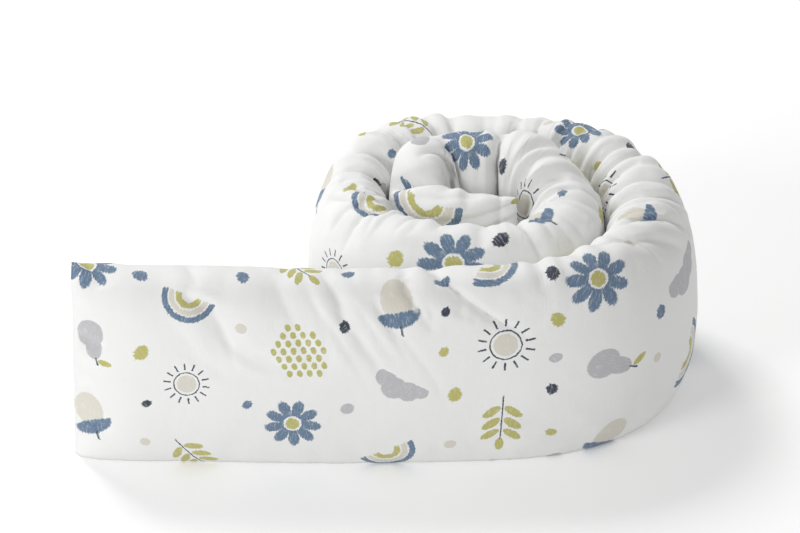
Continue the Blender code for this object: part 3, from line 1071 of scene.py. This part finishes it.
def printed(along, around):
    """The share of each ink on the cloth, and the streaks of the brush.

    The cloth is divided into staggered places. Each holds one motif, moved, turned and sized by
    chance, and which one it is follows from column + 3 row. Small spots lie between the columns.
    """
    wander_along = noise(vector(along, around), 230.0, 3.0, 0.6) - 0.5
    wander_around = noise(vector(around, along, 3.7), 230.0, 3.0, 0.6) - 0.5
    along = along + wander_along * (2 * WANDER)
    around = around + wander_around * (2 * WANDER)
    columns = (along + COLUMN_START) / COLUMN
    column = floored(columns)
    rows = (around + ROW_START) / ROW + column % 2.0 * 0.5
    row = floored(rows)
    turn, jog_along, jog_around = chances(column, row, 0.0)
    big = chances(column, row, 9.0)[0]
    x = from_middle(columns, column, COLUMN, jog_along, MOTIF_JOG[0])
    y = from_middle(rows, row, ROW, jog_around, MOTIF_JOG[1])
    x, y = turned(x, y, (turn - 0.5) * MOTIF_TURN)
    scale = MOTIF_SIZES[0] + big * MOTIF_SIZES[1]
    x = x / scale
    y = y / scale
    # A dry brush frays an edge: teeth along y change quickly with x, and a fray along x with y.
    teeth = (noise(vector(x, y * 0.15, 1.0), 720.0, 2.0, 0.75) - 0.5) * (2 * BRUSH_TEETH)
    fray = (noise(vector(x * 0.4, y, 5.0), 700.0, 2.0, 0.7) - 0.5) * (2 * BRUSH_FRAY)
    kind = (column + row * 3.0) % float(len(MOTIFS))
    shares = {ink: [] for ink in INKS}
    for number, (motif, dry) in enumerate(MOTIFS):
        chosen = math_node("COMPARE", kind, float(number), 0.5)
        for ink, share in motif(x + fray * dry, y + teeth * dry).items():
            shares[ink].append(share * chosen)

    columns = columns + 0.5
    column = floored(columns)
    rows = (around + SPOT_ROW_START) / SPOT_ROW
    row = floored(rows)
    which, jog_along, jog_around = chances(column, row, 5.0)
    big, turn, _ = chances(column, row, 7.0)
    spot_x = from_middle(columns, column, COLUMN, jog_along, SPOT_JOG[0])
    spot_y = from_middle(rows, row, SPOT_ROW, jog_around, SPOT_JOG[1])
    spot_x, spot_y = turned(spot_x, spot_y, turn * math.pi)
    scale = SPOT_SIZES[0] + big * SPOT_SIZES[1]
    smooth = oval(spot_x, spot_y, (0, 0), SMOOTH_SPOT)
    dry = oval(spot_x, spot_y, (0, 0), DRY_SPOT) * spiked(spot_x, spot_y)
    smooth = within(smooth / scale, SPOT_EDGE)
    dry = within(dry / scale, SPOT_EDGE)
    for number, ink in enumerate(SPOT_INKS):
        chosen = math_node("COMPARE", which, SPOT_START + SPOT_SHARE * number, SPOT_SHARE / 2)
        shares[ink].append((smooth if ink in SMOOTH_INKS else dry) * chosen)
    streaks = noise(vector(x, y * 0.18, 6.0), 640.0, 2.0, 0.7)
    return {ink: highest(*values) for ink, values in shares.items()}, streaks


THREAD_KNOT = (0.345, 0.045)  # distance along and around of the knot on the front
KNOT_RADIUS = 0.0024
KNOT_HEIGHT = 0.0032
PUCKER_REACH = 0.008  # length over which its small gathers fall to a third
PUCKER_DEPTH = 0.0005


def thread_knot(along, around):
    """Height of the knot, and how bare it is of ink.

    The knot is a bell, less seven short gathers around it that fade with distance.
    """
    across = along - THREAD_KNOT[0]
    up = around - THREAD_KNOT[1]
    radius = distance(across, up)
    bell = falling((radius / KNOT_RADIUS) ** 2.0)
    gather = math_node("COSINE", angle_of(across, up) * 7.0)
    dip = (gather + 1.6) * falling(radius / PUCKER_REACH) * -PUCKER_DEPTH
    return bell * KNOT_HEIGHT + dip, bell


SHARP_FOLD = 0.0045  # folds with a crease this deep or deeper have a sharp line at their bottom
SHARP_WIDTH = 0.0009  # distance over which it falls to a third
SHARP_DEPTH = 0.0010
CREASE_EVERYWHERE = 0.00025  # depth of the fine creases
CREASE_IN_GATHERS = 0.0008  # what is added to that where the cloth gathers


def sharp_lines(along, around):
    """Depth of the sharp lines at the bottoms of the deepest creases, laid out as in fold_depths."""
    total = 0.0
    for row in FOLDS:
        if row.crisp < SHARP_FOLD:
            continue
        run = (row.along_to - row.along_from, row.around_to - row.around_from)
        length = math.hypot(*run)
        way = (run[0] / length, run[1] / length)
        forth = along - row.along_from
        up = around - row.around_from
        share = (forth * way[0] + up * way[1]) / length
        beside = up * way[0] - forth * way[1] + share * (1.0 - share) * (4 * row.bow)
        line = math_node("EXPONENT", abs(beside) * (-1 / SHARP_WIDTH))
        total = total + line * ramp(abs(share - 0.5), 0.5, 0.3)
    return total * SHARP_DEPTH


def fine_creases(gather, along, around):
    """Depth of the fine creases all over the cloth, deeper where it gathers.

    They follow the lines where a noise that is stretched around the tube is one half: one less its
    distance from one half, to the fifth power, in patches of another noise.
    """
    waves = noise(vector(along, around * 0.20, 2.0), 62.0, 3.0, 0.55)
    lines = math_node("MAXIMUM", 1.0 - abs(waves * 2.0 - 1.0) * 1.6, 0.0) ** 5.0
    patches = ramp(noise(vector(along, around, 8.0), 22.0, 2.0, 0.5), 0.42, 0.62)
    return lines * patches * (CREASE_EVERYWHERE + gather * CREASE_IN_GATHERS)


THREAD_SPACING = 0.0006
WEAVE_HEIGHT = 0.00004
SLUB_HEIGHT = 0.00016
CRUMPLE_HEIGHT = 0.0007


def new_material(name):
    """A material and its shader."""
    material = bpy.data.materials.new(name)
    material.use_nodes = True
    return material, material.node_tree.nodes["Principled BSDF"]


def printed_cotton():
    """White cotton with a plain weave, slubs, a soft nap and the print in five inks."""
    material, shader = new_material("printed_cotton")
    feed(shader, {"Roughness": 0.88, "Specular IOR Level": 0.25})
    feed(shader, {"Sheen Weight": 0.18, "Sheen Roughness": 0.55})
    tree = material.node_tree
    cloth_map = new_node("ShaderNodeUVMap", {}, tree, uv_map="cover")
    split = new_node("ShaderNodeSeparateXYZ", {0: output(cloth_map)})
    along, around = output(split, 0), output(split, 1)
    gather = output(new_node("ShaderNodeAttribute", {}, tree, attribute_name="gathered"), "Fac")
    cloth = vector(along, around)

    shares, streaks = printed(along, around)
    knot, bare = thread_knot(along, around)
    grain = noise(cloth, 900.0, 2.0, 0.6)
    inked = ramp(grain, 0.20, 0.46, 0.62, 1.0) * ramp(streaks, 0.30, 0.50, 0.68, 1.0)
    colour = blend(ramp(noise(cloth, 9.0, 3.0, 0.5), 0.3, 0.7), WHITE_COTTON, GREYER_COTTON)
    for ink, tone in INKS.items():
        colour = blend(shares[ink] * inked * (1.0 - bare), colour, tone)

    turns = 2 * math.pi / THREAD_SPACING
    weave = math_node("SINE", along * turns) * math_node("SINE", around * turns)
    slubs = noise(vector(along * 0.25, around), 1400.0, 2.0, 0.5)
    crumple = noise(cloth, 110.0, 4.0, 0.55)
    height = weave * WEAVE_HEIGHT + slubs * SLUB_HEIGHT + crumple * CRUMPLE_HEIGHT
    height = height - fine_creases(gather, along, around) - sharp_lines(along, around) + knot
    bump = output(new_node("ShaderNodeBump", {"Strength": 0.6, "Distance": 1.0, "Height": height}))
    feed(shader, {"Base Color": colour, "Normal": bump})
    return material


def bumper_cover():
    """The stuffed and printed cover, one closed piece that stands for the solid."""
    mesh = cover_mesh(*finished_cover())
    cover = linked("bumper_cover", mesh)
    mesh.materials.append(printed_cotton())
    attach(cover, "root")
    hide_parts("bumper")


FLOOR_SIZE = 30.0
FLOOR_TONE = (0.96, 0.96, 0.96, 1)
FLOOR_GLOW = 0.13


def floor_material():
    """One even pale tone with a faint glow of its own."""
    material, shader = new_material("pale_floor")
    feed(shader, {"Base Color": FLOOR_TONE, "Roughness": 0.9, "Specular IOR Level": 0.1})
    feed(shader, {"Emission Color": FLOOR_TONE, "Emission Strength": FLOOR_GLOW})
    return material


def pale_floor():
    """A square of plain pale floor."""
    half = FLOOR_SIZE / 2
    mesh = bpy.data.meshes.new("floor")
    corners = [(-half, -half, 0), (half, -half, 0), (half, half, 0), (-half, half, 0)]
    mesh.from_pydata(corners, [], [(0, 1, 2, 3)])
    mesh.materials.append(floor_material())
    floor = linked("floor", mesh)


def aimed(item, place, target):
    """Puts a light or a camera at a place, looking at a target."""
    item.location = place
    item.rotation_mode = "QUATERNION"
    item.rotation_quaternion = (Vector(target) - Vector(place)).to_track_quat("-Z", "Y")


LIGHT_TARGET = (0.0, 0.0, 0.1)
LIGHT_SIZE = 1.0
SURROUND_STRENGTH = 0.49


def soft_light(name, place, watts):
    """A square panel of light, aimed at the bumper."""
    panel = bpy.data.lights.new(name, "AREA")
    panel.shape = "SQUARE"
    panel.size = LIGHT_SIZE
    panel.energy = watts
    aimed(linked(name, panel), place, LIGHT_TARGET)


def studio():
    """Soft light from above, behind and left, a weaker one from the front left, a pale surround."""
    soft_light("key", (-1.0, 1.6, 2.5), 44.0)
    soft_light("side", (-1.7, -1.9, 1.3), 25.0)
    world = bpy.data.worlds.new("surround")
    world.use_nodes = True
    feed(world.node_tree.nodes["Background"], {"Color": (1, 1, 1, 1), "Strength": SURROUND_STRENGTH})
    bpy.context.scene.world = world
    bpy.context.scene.view_settings.view_transform = "Standard"


CAMERA_ELEVATION = math.radians(28.64)
CAMERA_DISTANCE = 6.0
CAMERA_TARGET = (0.0106, -0.1562, 0.2126)
CAMERA_LENS = 268.7


def camera():
    """The photo's view: straight from the front, 28.6 degrees above the floor, with a long lens."""
    lens = bpy.data.cameras.new("camera")
    lens.lens = CAMERA_LENS
    lens.sensor_width = 36.0
    lens.clip_end = 100.0
    item = linked("camera", lens)
    back = Vector((0, -math.cos(CAMERA_ELEVATION), math.sin(CAMERA_ELEVATION)))
    aimed(item, Vector(CAMERA_TARGET) + back * CAMERA_DISTANCE, CAMERA_TARGET)
    bpy.context.scene.camera = item


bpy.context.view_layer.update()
bumper_cover()
pale_floor()
studio()
camera()
